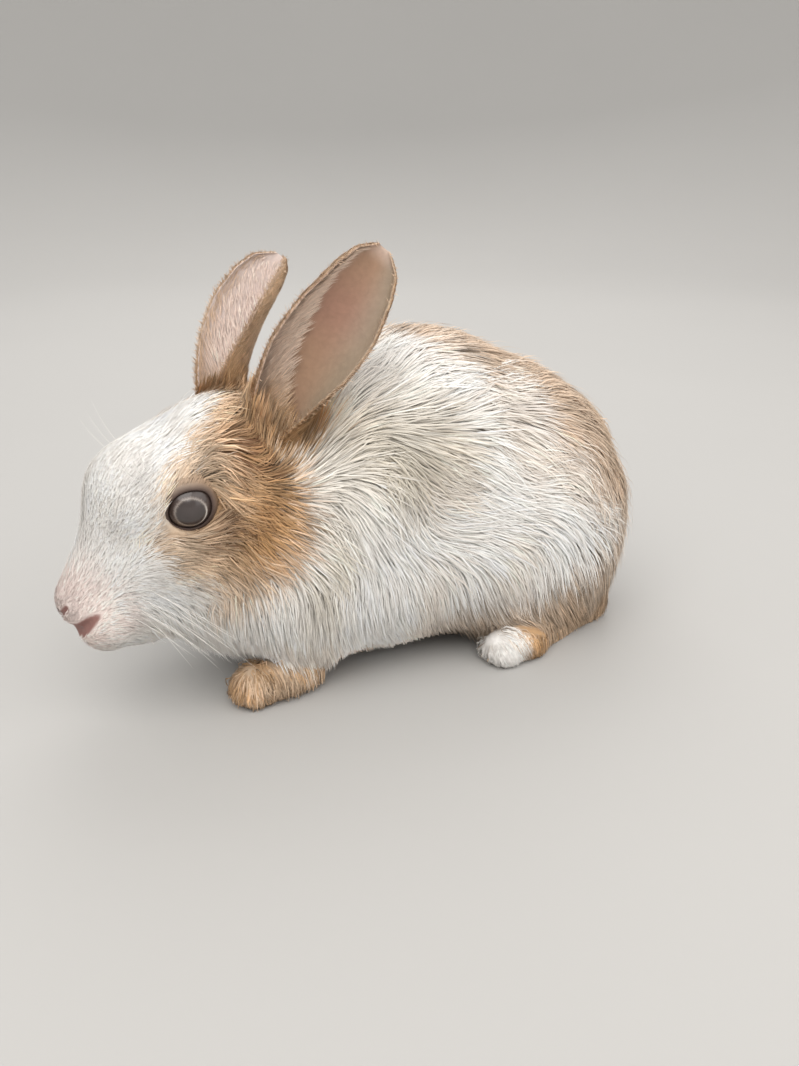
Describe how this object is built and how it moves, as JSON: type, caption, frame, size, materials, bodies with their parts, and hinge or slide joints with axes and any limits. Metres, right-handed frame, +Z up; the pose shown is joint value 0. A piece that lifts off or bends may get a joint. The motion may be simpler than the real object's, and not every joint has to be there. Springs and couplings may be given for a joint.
{
  "type": "angora rabbit",
  "caption": "Life-size still model of a young long-coated rabbit crouching on all fours, ears raised, white with fawn markings.",
  "frame": {"origin": "on the floor, under the middle of the footprint", "axes": "+Z up; the nose points to -X and the rabbit's left side faces -Y"},
  "size_m": [0.2318, 0.1004, 0.1505],
  "materials": {
    "coat": "matt white to cream fur",
    "fawn_coat": "matt fawn fur",
    "ear": "thin soft skin under short fawn fur",
    "eye": "wet and glossy"
  },
  "bodies": {
    "root": {"head": "coat", "neck": "coat", "torso": "coat", "tail": "coat", "ear_left": "ear", "ear_right": "ear", "eye_left": "eye", "eye_right": "eye", "foreleg_left": "coat", "foreleg_right": "coat", "forepaw_left": "fawn_coat", "forepaw_right": "fawn_coat", "haunch_left": "coat", "haunch_right": "coat", "hind_foot_left": "coat", "hind_foot_right": "coat"}
  },
  "joints": []
}
